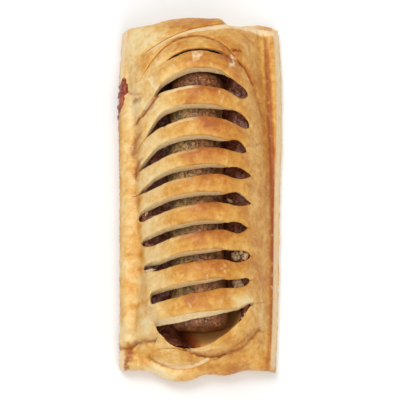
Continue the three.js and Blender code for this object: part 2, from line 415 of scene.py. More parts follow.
def bodyHeight(x, y):  # the smooth roll without its bands and folds
    farFall = np.clip((y - body["levelTo"]) / (body["farEnd"] - body["levelTo"]), 0, 1)
    nearFall = np.clip((body["levelFrom"] - y) / (body["levelFrom"] - body["nearEnd"]), 0, 1)
    farShape, nearShape, nearPower = body["fallShapes"]
    farCrest = body["farRim"] + (body["crest"] - body["farRim"]) * (1 - farFall**farShape)
    nearCrest = body["rim"] + (body["crest"] - body["rim"]) * (1 - nearFall**nearShape) ** nearPower
    crest = np.minimum(farCrest, nearCrest)
    foot = np.where(x < 0, body["footLeft"](y), body["footRight"](y))
    roundness, fullness = body["domeShape"]
    share = 1 - np.abs(x / foot) ** roundness
    share = (share + np.sqrt(share**2 + body["footSoftness"])) / 2  # it runs out softly at its foot
    dome = body["rim"] + (crest - body["rim"]) * share**fullness
    ridgeShare = smooth(y, *body["ridgeFrom"]) * (1 - smooth(y, *body["ridgeTo"]))
    lumps = unevenness(y, 0 * y, body["ridgeLump"], 81)
    ridge = ridgeShare * body["ridgeHeight"] * (1 + 0.7 * lumps)
    ridge = ridge * bell(x - body["ridgeX"] - 1.2 * lumps, body["ridgeSpread"])
    rightWidth, rightDrop = body["rightSlope"]
    rightEdge = outline["right"](y)
    leftWidth, leftDrop = body["leftSlope"]
    leftEdge = outline["left"](y)
    slopes = rightDrop * smooth(x, rightEdge - rightWidth, rightEdge)
    slopes += leftDrop * (1 - smooth(x, leftEdge, leftEdge + leftWidth)) * (1 - ridgeShare)
    height = dome + ridge - slopes
    farEdge = outline["far"](x)
    farSlope = smooth(y, farEdge - body["farSlope"], farEdge) * smooth(x, *body["farSlopeFrom"])
    return height + (np.minimum(height, body["farFoot"]) - height) * farSlope


# The lid: one sheet whose slashes have opened into bands, with the fold over its near left corner


def acrossLine(crossing, skew, bow, start=-28, end=24):  # where it crosses the middle, its lean, its bow
    def line(x):
        x = np.clip(x, start, end)
        return crossing + skew * x - bow * x * x

    return line


lobe = {  # the fold over the near left corner, whose edge slants where it passes the wide opening
    "edge": through((-36, -66), (-34.4, -66.6), (-32, -66.8), (-28, -65.2), (-24.5, -64.4), (-19.9, -65)),
    "slant": 0.5,
    "slantX": -19,
    "slantWidth": 4.5,
    "slantLength": 5.5,
    "slantFade": 3,
}

# The openings from the near end to the far one, the last a slit that has hardly opened.
# near, far: a lip, by where it crosses the middle line, how far it leans and how much it bows
# ends, tapers: where the opening closes, and how long its two ends are
# bulb: how far the near lip drops and the far one rises where the sauce has pushed them apart
# drop: from where its left end runs down and how steeply, less than 0 where it runs up
# rise: from where its right end runs up and how steeply
# pointed: the power by which its left end narrows, less for a blunter one
# tail: how strongly its crease runs on beyond its left end
# lean: how far its cut face leans back, against 1 in most openings
openings = [
    {"near": (-69.2, 0.163, -0.0222, -19.9, 22.5), "far": (-58.1, 0.187, -0.004), "ends": (-19.9, 22.8),
     "lean": 2.6, "tapers": (1.2, 2.6), "rise": (18.5, 0.5), "lobe": lobe["edge"], "tail": 0},
    {"near": (-47.8, 0.2, -0.0025), "far": (-43.5, 0.19, -0.003), "ends": (-21.6, 22), "bulb": (1, -0.6),
     "tapers": (1.2, 3), "tail": 0},
    {"near": (-34.4, 0.131, 0), "far": (-30.6, 0.157, 0), "ends": (-24.8, 22), "bulb": (1.5, 0.2),
     "drop": (-18, -0.3), "tail": 0},
    {"near": (-21.7, 0.165, 0.0005), "far": (-18, 0.115, 0.002), "ends": (-25.6, 20.5), "bulb": (2.3, 0.8),
     "drop": (-21.5, -0.4), "tail": 0},
    {"near": (-9.6, 0.12, 0.0013), "far": (-5.5, 0.075, 0.0027), "ends": (-27, 22), "bulb": (1.3, 2.6),
     "tapers": (3, 3), "tail": 0.5},
    {"near": (2.9, 0.123, 0.0023), "far": (6.9, 0.088, 0.0044), "ends": (-27.4, 22), "bulb": (1.7, 1.4),
     "drop": (-21, 0.12), "tapers": (8, 3), "pointed": 0.65},
    {"near": (15, 0.092, 0.0055), "far": (19.6, 0.006, 0.0072), "ends": (-27.2, 19.9), "bulb": (0.6, 2.6),
     "drop": (-19, 0.25), "tapers": (9, 3), "pointed": 0.75},
    {"near": (29, 0.043, 0.0096), "far": (33.9, 0, 0.0078), "ends": (-23.2, 21), "bulb": (0.7, 1.9),
     "drop": (-18, 0.6), "tapers": (8, 3), "pointed": 0.7},
    {"near": (43, -0.022, 0.0066), "far": (50.5, 0.081, 0.0167), "ends": (-19.8, 20.3), "bulb": (1.3, -0.6),
     "drop": (-17.5, 0.55)},
    {"near": (60, 0.03, 0.0206), "far": (62.1, 0.03, 0.0206), "ends": (-14, 10), "lean": -1.5, "tail": 0},
]
folds = {
    "lowerNear": acrossLine(-75.7, 0.317, -0.0223, -21, 8),
    "upperNear": acrossLine(-71.9, -0.239, -0.0276, -6, 25),
    "arch": acrossLine(68.4, -0.152, 0.0331, -26, 25),
    "lowerFar": acrossLine(74, 0.33, 0.0072, -30, 14),
}
leftCrease = through(
    (-64, -16), (-55, -20.3), (-47, -23.2), (-40, -24.9), (-30, -25.4), (-20, -26.7), (-5, -28), (5, -28.5),
    (15, -27.5), (30, -27.5), (45, -29.5), (62, -31)
)

lid = {
    "columns": 200,
    "thickness": 4.6,
    "lean": through((-26, 0.6), (-8, 0.8), (6, 0.5), (14, 0.15), (22, 0)),  # how far cut faces lean back
    "curl": 1.1,  # how far the bands' near edges curl under at their right
    "curlFrom": (7, 13),
    "curlLean": 1.4,
    "bulbX": 16,  # where sauce has pushed the lips apart
    "bulbWidth": 4.5,
    "tapers": (4, 3.5),
    "wave": 0.4,  # how uneven the edges of the bands are
    "chips": 0.16,
    "leastHalf": 0.15,  # half the width of an opening where it has closed
    "leastRow": 0.07,  # between two rows of the sheet's corners
    "leastUnder": 0.4,  # how low the underside may come
    "edgeInset": 0.35,  # how far the underside's outline is drawn in
    "wallCuts": 4,
    "leaves": 9,  # that show in the height of a cut
    "leafDepth": 0.35,  # how far single leaves stand out of a cut
    "tuck": 0.7,  # how far a strip's edge runs on under the next strip
    "tailDepth": 0.9,
    "tailRedness": 0.4,
    "sideRound": 4,  # the left-hand ridge's outer side
    "sideDrop": 3.4,
    "crumple": 0.3,  # at the near left corner
    "blister": 0.9,
}

across = np.linspace(0, 1, lid["columns"] + 1)
middleLeft, middleRight = outline["left"](0), outline["right"](0)
columnX = middleLeft + across * (middleRight - middleLeft)


def leanOf(opening):
    return opening.get("lean", 1) * lid["lean"](columnX)


def curlOf(opening):
    return lid["curl"] * smooth(columnX, *lid["curlFrom"]) if "bulb" in opening else 0 * columnX


def waviness(seed):
    wave = lid["wave"] * unevenness(columnX, 0 * columnX, 9, seed)
    return wave + lid["chips"] * unevenness(columnX, 0 * columnX, 1.6, seed + 0.2)


def hinge(beyond):  # 0 before a place, a slope of 1 beyond it, and round between them
    return (beyond + np.sqrt(beyond**2 + 2)) / 2


def lips(opening, seed):  # the two edges of an opening, drawn together beyond its ends
    near = acrossLine(*opening["near"])(columnX)
    far = acrossLine(*opening["far"])(columnX) + leanOf(opening)
    if "drop" in opening:
        start, slope = opening["drop"]
        bend = slope * hinge(start - columnX)
        near, far = near - bend, far - bend
    if "rise" in opening:
        start, slope = opening["rise"]
        bend = slope * hinge(columnX - start)
        near, far = near + bend, far + bend
    nearBulge, farBulge = opening.get("bulb", (0, 0))
    bulb = bell(columnX - lid["bulbX"], lid["bulbWidth"])
    near = near - nearBulge * bulb + waviness(seed)
    far = far + farBulge * bulb + waviness(seed + 0.5) - curlOf(opening)
    left, right = opening["ends"]
    taperLeft, taperRight = opening.get("tapers", lid["tapers"])
    room = np.minimum((columnX - left) / taperLeft, (right - columnX) / taperRight)
    room = np.clip(room, 0, 1)
    gape = np.sqrt(1 - (1 - room) ** 2)
    if "pointed" in opening:
        gape = np.where(columnX < (left + right) / 2, room ** opening["pointed"], gape)
    if "lobe" in opening:  # to its left this opening runs on as the edge of the lobe over the corner
        beyond = columnX < left
        near = np.where(beyond, opening["lobe"](columnX), near)
        gape = np.where(beyond, 1, gape)
    middle, half = (near + far) / 2, np.maximum((far - near) / 2 * gape, lid["leastHalf"])
    return middle - half, middle + half


# The lid is a row of strips, from the near edge to the far one. A strip is raised by lift, between two
# places across; puffs up in its middle; and falls at each side by so much, over so wide, in some shape,
# between two places across. An opening is a strip whose faces come out between its ends.
def makeStrips():
    pairs = [lips(opening, 40 + number) for number, opening in enumerate(openings)]
    lines = {name: line(columnX) for name, line in folds.items()}
    nearEdge = outline["near"](columnX) + 0.2 - waviness(71)
    farEdge = outline["far"](columnX) - 0.2 + waviness(72)
    strips = [
        dict(lines=(nearEdge, lines["lowerNear"]), rows=16, lift=(0, -34, 34), puff=0.9,
             near=(2.6, 2.6, "round", -40, 40), far=(1.0, 1.2, "tuck", -18, 5)),
        dict(lines=(lines["lowerNear"], lines["upperNear"]), rows=14, lift=(1.3, -18, 6), puff=0.6,
             near=(1.9, 1.2, "cut", -19, 4), far=(0.9, 1.0, "tuck", -7, 27)),
        dict(lines=(lines["upperNear"], pairs[0][0]), rows=14, lift=(1.5, -8, 28), puff=0.9,
             near=(1.5, 1.2, "round", -8, 28), far=(1.0, 1.0, "round", -17, 22)),
        dict(lines=pairs[0], rows=20, opening=openings[0], lift=(2.6, -38, -14), ramp=4.5, puff=1.2,
             near=(2.4, 2.2, "round", -38, -16), far=(0, 1, "round", -38, -16)),
    ]
    for number in range(1, len(openings)):
        last, opening = openings[number - 1], openings[number]
        bandLines = pairs[number - 1][1], pairs[number][0]
        bandSpan = (-26, 22) if "bulb" in opening else (-19, 15)
        lean = leanOf(last) - lid["curlLean"] * curlOf(last)
        strips += [
            dict(lines=bandLines, rows=20, band=number, lift=(0.2, *bandSpan), puff=1.0, lean=lean,
                 near=(0.7, 0.9, "round", *last["ends"]), far=(1.1, 1.3, "round", *opening["ends"])),
            dict(lines=pairs[number], rows=3, opening=opening, lift=(0, -26, 22), puff=0,
                 near=(0, 1, "round", 0, 0), far=(0, 1, "round", 0, 0)),
        ]
    farCut = through((-26, 1.2), (-8, 2), (3, 3.4), (20, 3))(columnX)
    strips += [
        dict(lines=(pairs[-1][1], lines["arch"]), rows=14, lift=(0.3, -19, 14), puff=0.9,
             lean=leanOf(openings[-1]), near=(0.6, 0.8, "round", -15, 11), far=(1.0, 1.3, "round", -24, 18)),
        dict(lines=(lines["arch"], lines["lowerFar"]), rows=24, lift=(0.4, -30, 20), puff=0.8,
             near=(0.9, 1.3, "round", -24, 18), far=(0.3, farCut, "cut", -22.5, 40)),
        dict(lines=(lines["lowerFar"], farEdge), rows=14, lift=(0.2, -34, 14), puff=1.1,
             near=(1.6, 1.2, "round", -23.5, 13), far=(2.6, 2.6, "round", -40, 12)),
    ]
    return strips


def sideFall(distance, side, x):  # height lost, and how much of a pale cut shows
    drop, width, shape, start, end = side
    share = window(x, start, end)
    if shape == "cut":
        slope = np.clip(1 - distance / width, 0, 1)
        return drop * slope * share, share * (1 - smooth(distance, width * 0.85, width * 1.1))
    return drop * rounding(distance, width) * share, 0 * x


def stripShares(count):  # rows lie closer together at a strip's two sides
    even = np.linspace(0, 1, count)
    return 0.35 * even + 0.65 * (1 - np.cos(np.pi * even)) / 2


def layOutRows(strips):
    rowY, owners, shares = [], [], []
    for number, strip in enumerate(strips):
        near, far = strip["lines"]
        places = stripShares(strip["rows"])
        if "opening" in strip:  # the strips beside it have its lips
            places = places[1:-1]
        for place in places:
            rowY.append(near + (far - near) * place)
            owners.append(number)
            shares.append(place)
    rowY = np.array(rowY)
    for row in range(len(rowY) - 2, 0, -1):  # kept in order where lines run together
        rowY[row] = np.clip(rowY[row], rowY[0] + lid["leastRow"] * row, rowY[row + 1] - lid["leastRow"])
    return rowY, np.array(owners), np.array(shares)


# How brown the crust is by where it is across the roll, and soft patches that are browner or
# paler: x, y, half width, half length, amount. Both are partly how the crust has baked and partly
# painted light and shade: painted light on the pale left flank, painted shade on the right flank and
# in the valley beside the ridge, and some patches paint light and shade.
browningAndLightAcross = through(
    (-37, 0.75), (-35.2, 0.45), (-33.8, 0.24), (-32, 0.25), (-30, 0.26), (-28, 0.3), (-26, 0.27),
    (-22, 0.22), (-17, 0.28), (-12, 0.41), (-7, 0.55), (-2, 0.63), (4, 0.67), (12, 0.66), (16, 0.6),
    (22, 0.55), (27, 0.56), (30, 0.6), (32.3, 0.62), (33.4, 0.46), (35, 0.4)
)
browningAndLightPatches = [
    (-28, 69, 7, 7, -0.3), (-12, 75, 10, 5, 0.24), (4, 69, 12, 5, -0.12), (24, 66, 9, 9, -0.04),
    (-18, 60, 7, 6, 0.05), (-24, 58, 4, 4.5, 0.28), (0, 55, 14, 4, -0.06), (14, 52, 5, 4, 0.15),
    (-17, 52, 5, 4, 0.04), (-31, -60, 6, 8, -0.26), (-23, -62, 5, 5, -0.15), (-22, -70, 6, 5, 0.35),
    (-7, -79, 12, 4, -0.24), (-18, -80, 6, 3, -0.3), (-9, -75.5, 6, 1.5, -0.2), (16, -73, 9, 5, -0.1),
    (2, -68, 8, 3, -0.2), (26, -42, 5, 9, 0.12), (6, 71, 9, 4, -0.2), (-21, -29, 4, 3, -0.2),
    (15, 30, 4, 2.5, -0.1), (2, 19, 9, 3, 0.06), (-17, -76, 9, 3, -0.08), (-34, -74, 2, 5, -0.3),
    (27, -60, 5, 8, -0.15), (28, -76, 6, 6, 0.1), (-13, -70, 6, 3, -0.15), (24, 20, 4, 9, -0.06),
    (24, 45, 4, 9, 0.1), (20, -50, 6, 5, -0.3), (-31, -15, 5, 45, 0.13), (-32, -30, 4, 9, -0.22),
    (-31, -44, 4, 6, 0.08), (-31, -68, 5, 3, 0.15), (17, 40, 5, 3, -0.15), (5, 25, 8, 3, 0.12),
    (-29, 39, 3, 9, -0.3), (-25.6, -49.4, 2.6, 2, 0.35), (-24, -54.8, 2.6, 1.7, 0.3),
    (-29.5, -49.4, 1.3, 1.3, 0.3), (-33.6, -53.7, 0.9, 3.5, 0.4), (-26.5, -3, 1.2, 2.4, 0.35),
    (-26.6, -15, 1.1, 2.6, 0.35), (-26, -27.5, 1.3, 2.2, 0.35), (-25.8, -34, 1.2, 1.6, 0.4),
    (-31, -27, 1.6, 0.8, 0.3), (24.5, 50, 3, 5, 0.12), (17, 59.6, 3, 1.2, 0.2),
    (9, -45.5, 12, 1.6, -0.12), (16, -50, 7, 4, -0.25), (16, -38, 5, 4, -0.12), (18, 40, 5, 3, -0.1),
    (0, 67, 13, 4, 0.02),
]

# Marks in the crust are strokes of some kind. Each kind has a half width, sinks so deep, and shows so much
# of the crease colour and so much of the pale inside; on the edge and flake kinds that pale is partly a
# painted highlight.
markKinds = {
    "fold": (0.7, 0.9, 0.45, 0),
    "valley": (1.3, 1.0, 0.2, 0),
    "furrow": (0.9, 1.3, 0.85, 0),
    "scar": (1.6, 0.7, 0.95, 0),
    "crack": (0.4, 0.5, 0.5, 0),
    "slash": (0.8, 1.5, 1, 0),
    "stain": (1.3, 0.5, 0.8, 0),
    "seam": (0.7, 1.3, 0.7, 0),
    "flush": (1.8, 0.1, 0.35, 0),
    "hole": (0.65, 1.8, 1, 0),
    # flakes of the crust, their pale partly painted glints
    "flakeAndGlint": (0.5, -0.15, 0, 0.4),
    "tear": (1.3, 0.3, 0, 0.9),
    # edge: a raised pale lip, partly the pale cut and partly a painted highlight along it
    "edge": (0.8, -0.2, 0, 0.35),
}
marks = {
    "fold": [
        ((24.1, 46), (24.8, 43.7), (26.3, 40.1), (27.3, 36.2)),
        ((-21.8, -72), (-18.8, -73.9), (-14.9, -75.3), (-9, -76.1), (-4.1, -75.4), (-1.2, -74.6)),
    ],
    "valley": [
        ((12.8, 60.2), (17.2, 56.8), (19.8, 54.6), (22, 50.9), (23.8, 47.3), (24.8, 43.7), (26.3, 40.1)),
        ((-21.6, -53.4), (-19.5, -58.2), (-17.6, -61.7), (-16.2, -64.9)),
    ],
    "furrow": [((17.6, 56.4), (19.8, 54.4), (22, 50.9), (23.1, 48.6))],
    "scar": [((-32.6, -77.5), (-31.8, -74.5), (-30.9, -71), (-29.8, -68))],
    "crack": [
        ((-14.3, 64.4), (-9.8, 67.1), (-4.2, 67.7), (0.8, 67.8), (4.8, 66.3), (8.9, 63.7)),
        ((-32.9, 47.8), (-30.8, 46), (-28.7, 44.5), (-26.5, 43.7)),
        ((19.7, 17.6), (22.2, 18.4), (25.4, 20.8), (27.6, 22.6)), ((21.4, -51.4), (24.8, -52.7)),
        ((25.8, -65.5), (27.9, -66.1), (29.4, -66.6)),
    ],
    "slash": [
        ((-18.7, 40.3), (-20.2, 38.7), (-22, 36), (-23.8, 34.7), (-25.1, 33.4), (-27, 32.4), (-27.8, 31)),
    ],
    "stain": [
        ((10.8, 58.6), (13.8, 56.5)), ((-28.4, 41.6), (-27.1, 41.6)),
        ((-27, 24.9), (-28.3, 23.3), (-29.1, 20.4), (-29.3, 17.7)),
        ((-26.9, 13.2), (-27.7, 10.8), (-28.2, 6.9)),
    ],
    "seam": [
        ((-34.6, -67.4), (-31.6, -67.6), (-28, -66), (-24.6, -65.4), (-20, -66)),
        (
            (-6.5, -69.7), (-4.1, -70.5), (-0.2, -71.7), (4.2, -72.3), (8.6, -71.7), (13.4, -70),
            (17.8, -68.7), (22.2, -64.1), (25.3, -60.2),
        ),
    ],
    "flush": [((20.2, -64.4), (19.7, -66.2)), ((13.6, -77.4), (16.5, -76.2), (19.7, -75.6))],
    "hole": [((14.9, 61.9), (17.8, 62.2))],
    # pale flakes, partly painted glints
    "flakeAndGlint": [
        ((19.4, 62.4), (22.4, 64.2)), ((12.8, 52.2), (14.8, 54.4), (14.3, 56.1)),
        ((4.8, 53), (5.3, 51.3)), ((-11.9, 52.9), (-11.2, 51.7)), ((8.5, 40.7), (8.2, 38.6)),
        ((10.2, 37.8), (9.2, 35.6)), ((-7.1, 35.4), (-8.3, 33.7)), ((11.6, 11.3), (11.3, 8.2)),
        ((10.4, -36.2), (9, -37.8)), ((10.4, -38.7), (10.9, -39.6)), ((-6.9, -40.3), (-7.9, -41.7)),
        ((3.2, -41), (2.9, -42.5)), ((11.3, -50.3), (13.3, -46.2)), ((8.4, -53.5), (8.7, -51)),
        ((-4.5, -52.7), (-4, -54.2)), ((31.6, -16.9), (31.5, -18)), ((31.4, -30.3), (31.6, -31.6)),
        ((31.5, -35.2), (31.3, -35.9)), ((31.2, -40.6), (31.3, -41.8)), ((25.8, -57.2), (26.3, -60.8)),
        ((-5, -70.2), (0, -70.6), (4, -69.8)),
    ],
    "tear": [
        ((-2.9, 58.6), (-2.2, 55)), ((-0.2, 58.5), (-1.2, 55.9)),
        ((-21.6, 49.2), (-20.8, 46.4), (-18.6, 43.2)), ((14.4, 58.4), (15.2, 56.4), (13.6, 53.6)),
    ],
    # pale lips, partly painted highlights
    "edge": [
        ((-20.6, 51), (-18.6, 55), (-15.4, 58.6), (-11, 61.6)),
        ((-15.6, -67.2), (-13, -68.8), (-9.6, -70)),
    ],
}
groove = {  # pressed in along the right: where it runs, and how red it has baked
    "x": through(
        (-78, 28.5), (-66, 30.1), (-50, 31), (-30, 31.7), (10, 31.8), (30, 31.2), (45, 30.6), (60, 30.1),
        (78, 29.3)
    ),
    "red": through((-80, 0.4), (-66, 0.65), (-50, 0.75), (-30, 1), (20, 1), (40, 0.95), (60, 0.9), (78, 0.5)),
    "halfWidth": through((-80, 0.8), (-60, 1.2), (-20, 1.5), (20, 1.5), (45, 1.3), (60, 1), (78, 0.6)),
    "depth": 1.2,
    "flatness": 2.4,
    "span": (-80, 78, 6),
}
valley = {  # between the bands and the smooth ridge at their left, which the crust half fills
    "sway": (1.6, 9),  # how far it wanders, and how far apart its bends are
    "waver": (0.8, 3.5),
    "halfWidth": 1.5,
    "depth": 0.45,
    "span": (-60, 40, 12),
    # crease colour in the valley: partly the crust's own reddish colour, partly painted shade
    "rednessAndShade": 0.25,
    "fill": 1.9,
    "fillOffset": 0.4,
    "fillWidth": 3.2,
    "fillSpan": (-58, 50, 12),
}
rimCuts = {  # how far in from the outline its cut leaves show, pale: from, to, fade
    "right": (0.5, 2.75, 0.4),
    "far": (0.4, 4.4, 0.6),
    "left": (0.3, 2.4, 0.6),
}
crustRelief = [(0.6, 15, 1.3), (0.3, 6, 2.3), (0.13, 2.2, 3.3)]  # height, how far apart the hills are, seed
bandLook = {
    "sway": (0.5, 9),  # how far a band rises and falls along its length, and how far apart its hills are
    "crestX": 3,
    "crestWidth": 13,
    "crestBrowning": 0.2,
    "nearPaleness": 0.12,
    "bevelsAndHighlights": (0, 0, 0.2, 0.2, 0.2, 0.3, 0.6, 0.9, 0),  # cut leaves that show on the far edge of each, their pale partly a painted highlight on its rounding
    "bevelSpan": (-14, -2, 5),
    "bevelDepth": 0.8,
    "bevelWidth": 2,
}


def distanceTo(points, x, y):
    nearest = np.full(np.shape(x), 1e3)
    for (startX, startY), (endX, endY) in zip(points, points[1:]):
        alongX, alongY = endX - startX, endY - startY
        share = ((x - startX) * alongX + (y - startY) * alongY) / (alongX**2 + alongY**2)
        share = np.clip(share, 0, 1)
        nearest = np.minimum(nearest, np.hypot(x - startX - share * alongX, y - startY - share * alongY))
    return nearest


def rims(x, y):
    right = 0.9 * window(outline["right"](y) - x, *rimCuts["right"]) * window(y, -76, 84, 3)
    far = window(outline["far"](x) - y, *rimCuts["far"])
    far = far * smooth(x, 10, 13) * (1 - 0.75 * smooth(x, 23, 28))
    left = window(x - outline["left"](y), *rimCuts["left"])
    left = left * (window(y, 50, 84, 3) + window(y, -84, -68, 2))
    return np.clip(right + far + left, 0, 1)


def raggedness(y, edge, seed):  # how far a side edge steps in
    return 0.25 + 0.35 * unevenness(y, edge, 3, seed) + 0.2 * unevenness(y, edge, 0.9, seed + 1)


# A band sways, is browner on its crest and paler at its near side, and may show cut leaves at its far one,
# whose pale is partly a painted highlight on that rounded edge
def layBand(sheet, rows, number, x, share, shown, fromFar):
    height, size = bandLook["sway"]
    sheet.raised[rows] += height * unevenness(x, 0 * x + number, size, 51) * shown
    onCrest = bell(x - bandLook["crestX"], bandLook["crestWidth"]) * smooth(share, 0.35, 0.85)
    sheet.brown[rows] += bandLook["crestBrowning"] * onCrest
    sheet.brown[rows] -= bandLook["nearPaleness"] * (1 - smooth(share, 0, 0.35)) * shown
    bevelAndHighlight = bandLook["bevelsAndHighlights"][number - 1] * window(x, *bandLook["bevelSpan"])
    sheet.fall[rows] -= bandLook["bevelDepth"] * bevelAndHighlight * rounding(fromFar, bandLook["bevelWidth"])
    # pale on the far edge: cut leaves, and a painted highlight on its rounding
    sheet.pale[rows] += bevelAndHighlight * (1 - smooth(fromFar, 1.5, 2.1))


def layStrip(sheet, strip, rows, rowY, shares):
    x, y, share = sheet.x[rows], rowY[rows], shares[rows][:, None]
    near, far = strip["lines"]
    fromNear, fromFar = y - near, far - y
    height, start, end = strip["lift"]
    shown = window(x, start, end, 5)
    if "ramp" in strip:  # it rises slowly from its far side
        shown = shown * smooth(fromFar, 0, strip["ramp"])
    sheet.raised[rows] = height * shown
    puff = strip["puff"] * shown * (1 - np.abs(2 * share - 1) ** 2.4)
    nearDrop, nearPale = sideFall(fromNear, strip["near"], x)
    farDrop, farPale = sideFall(fromFar, strip["far"], x)
    sheet.fall[rows] = puff - nearDrop - farDrop
    sheet.pale[rows] = np.maximum(nearPale, farPale)
    if strip["far"][2] == "tuck":  # its far side runs on under the next strip
        _, width, _, start, end = strip["far"]
        sheet.y[rows] += lid["tuck"] * np.clip(1 - fromFar / width, 0, 1) ** 2 * window(x, start, end)
    if "lean" in strip:
        sheet.underShift[rows] = -strip["lean"] * (1 - smooth(fromNear, 0, 3))
    if "band" in strip:
        layBand(sheet, rows, strip["band"], x, share, shown, fromFar)
    if "opening" in strip:  # the crease runs on beyond its ends
        start, end = strip["opening"]["ends"]
        leftTail = smooth(x - leftCrease(y), -2.5, 1) * strip["opening"].get("tail", 1)
        sheet.tail[rows] = np.where(x > 0, 1 - smooth(x, end - 0.2, end + 0.6), leftTail)


def pressCreases(sheet):  # the valley beside the left-hand ridge, and the groove along the right
    x, y = sheet.x, sheet.y
    (sway, swaySize), (waver, waverSize) = valley["sway"], valley["waver"]
    valleyX = leftCrease(y) + sway * unevenness(y, 0 * y, swaySize, 14)
    valleyX += waver * unevenness(y, 0 * y, waverSize, 15)
    inValley = bell(x - valleyX, valley["halfWidth"]) * window(y, *valley["span"])
    fill = bell(x - valleyX - valley["fillOffset"], valley["fillWidth"]) * window(y, *valley["fillSpan"])
    fromGroove = np.abs((x - groove["x"](y)) / groove["halfWidth"](y))
    inGroove = groove["red"](y) * np.exp(-(fromGroove ** groove["flatness"])) * window(y, *groove["span"])
    sheet.z += valley["fill"] * fill - valley["depth"] * inValley - groove["depth"] * inGroove
    sheet.crease = lid["tailRedness"] * sheet.tail + inGroove
    # reddening in the valley, partly painted shade
    sheet.crease += valley["rednessAndShade"] * inValley * (0.5 + unevenness(y, x, 7, 5))


def drawMarks(sheet):  # each stroke wavers in width, and its pale shows in places only: the pale inside, and on flakes and edges partly a painted highlight
    x, y = sheet.x, sheet.y
    wander = np.maximum(0.6, 1 + 1.1 * unevenness(x, y, 1.5, 12))
    broken = smooth(unevenness(x, y, 1.7, 18), -0.5, 0.2)
    for kind, strokes in marks.items():
        halfWidth, sink, creaseAmount, paleAmount = markKinds[kind]
        for points in strokes:
            share = bell(distanceTo(points, x, y) * wander, halfWidth)
            sheet.z -= sink * share
            sheet.crease = np.maximum(sheet.crease, creaseAmount * share)
            sheet.pale = np.maximum(sheet.pale, paleAmount * broken * smooth(share, 0.2, 0.85))


def roughen(sheet, left):  # its left side is round, and its crust crumpled, blistered and uneven all over
    x, y = sheet.x, sheet.y
    ridgeShare = smooth(y, -66, -50) * (1 - 0.6 * smooth(y, 40, 66))
    sheet.z -= lid["sideDrop"] * rounding(x - left, lid["sideRound"]) * ridgeShare
    for height, size, seed in crustRelief:
        sheet.z += height * unevenness(x, y, size, seed)
    nearLeft = smooth(-y, 48, 60) * smooth(-x, -4, 14)
    sheet.z += lid["crumple"] * unevenness(x, y, 2.8, 6.3) * nearLeft
    sheet.z += lid["blister"] * np.maximum(unevenness(x, y, 3.4, 4.3) - 0.22, 0)


def slantLobe(sheet, rowY, nearLip, farLip):  # along the left side of the wide opening
    past = bell(np.maximum(nearLip - rowY, 0), lobe["slantFade"])
    shift = lobe["slant"] * np.clip(farLip - rowY, 0, lobe["slantLength"]) * past
    sheet.x += shift * bell(sheet.x - lobe["slantX"], lobe["slantWidth"])


def shapeLid(strips, rowY, owners, shares):  # where the sheet's corners go, and what the crust reads there
    left, right = outline["left"](rowY), outline["right"](rowY)
    left += raggedness(rowY, left, 61)
    right -= raggedness(rowY, right, 63)
    x = left + across * (right - left)
    sheet = SimpleNamespace(x=x, y=rowY.copy(), z=bodyHeight(x, rowY), brown=browningAndLightAcross(x))
    for name in ("raised", "fall", "underShift", "pale", "tail"):
        setattr(sheet, name, 0 * x)
    for number, strip in enumerate(strips):
        layStrip(sheet, strip, owners == number, rowY, shares)
    sheet.z += sheet.raised + sheet.fall
    sheet.z -= lid["tailDepth"] * sheet.tail
    pressCreases(sheet)
    drawMarks(sheet)
    sheet.pale = np.clip(np.maximum(sheet.pale, 0.9 * rims(sheet.x, sheet.y)), 0, 1)
    sheet.crease = np.clip(sheet.crease, 0, 1)
    roughen(sheet, left)
    # the patches: browner and paler baking, and painted light and shade
    for placeX, placeY, halfWidth, halfLength, amount in browningAndLightPatches:
        sheet.brown += amount * bell(sheet.x - placeX, halfWidth) * bell(sheet.y - placeY, halfLength)
    wide = next(strip for strip in strips if strip.get("opening") is openings[0])
    slantLobe(sheet, rowY, *wide["lines"])
    return sheet


def addGrid(name, columns, rows):  # and which column and row each of its corners is in
    deselectAll()
    bpy.ops.mesh.primitive_grid_add(x_subdivisions=columns, y_subdivisions=rows, size=1)
    piece = bpy.context.object
    piece.name = name
    flat = meshPlaces(piece.data)
    column = np.rint((flat[:, 0] + 0.5) * columns).astype(int)
    row = np.rint((flat[:, 1] + 0.5) * rows).astype(int)
    return piece, column, row


underNames = ("underX", "underY", "underZ")
underShare = 0.2  # of an underside's faces, which are thinned to this


def setUnder(mesh, under):  # where each corner's copy under the sheet will be
    for name, places in zip(underNames, under.T):
        setValue(mesh, name, places * millimetre)


# Gives a shaped sheet its thickness: all of it is extruded, the new corners go to their places under the
# sheet, and the walls round it are cut into rows. The value depth runs from 0 on top to 1 below.
def thicken(mesh, wallCuts):
    bpy.ops.object.mode_set(mode="EDIT")
    bpy.ops.mesh.select_all(action="SELECT")
    bpy.ops.mesh.extrude_region()
    bpy.ops.object.mode_set(mode="OBJECT")
    lower = np.empty(len(mesh.vertices), bool)
    mesh.vertices.foreach_get("select", lower)
    under = np.stack([getValue(mesh, name) for name in underNames], -1)
    setPlaces(mesh, np.where(lower[:, None], under, meshPlaces(mesh)))
    setValue(mesh, "depth", lower.astype(float))
    ends = edgeEnds(mesh)
    choose(mesh, "EDGE", lower[ends[:, 0]] != lower[ends[:, 1]])
    bpy.ops.mesh.subdivide(number_cuts=wallCuts)
    bpy.ops.object.mode_set(mode="OBJECT")
    depth = getValue(mesh, "depth")
    choose(mesh, "FACE", np.array([depth[list(face.vertices)].min() > 0.99 for face in mesh.polygons]))
    bpy.ops.mesh.decimate(ratio=underShare)  # the underside
    bpy.ops.mesh.select_all(action="SELECT")
    bpy.ops.mesh.normals_make_consistent(inside=False)
    bpy.ops.object.mode_set(mode="OBJECT")
    for name in underNames:
        mesh.attributes.remove(mesh.attributes[name])


def wallFaces(mesh):
    depth = getValue(mesh, "depth")
    return np.array([np.ptp(depth[list(face.vertices)]) > 0.01 for face in mesh.polygons])


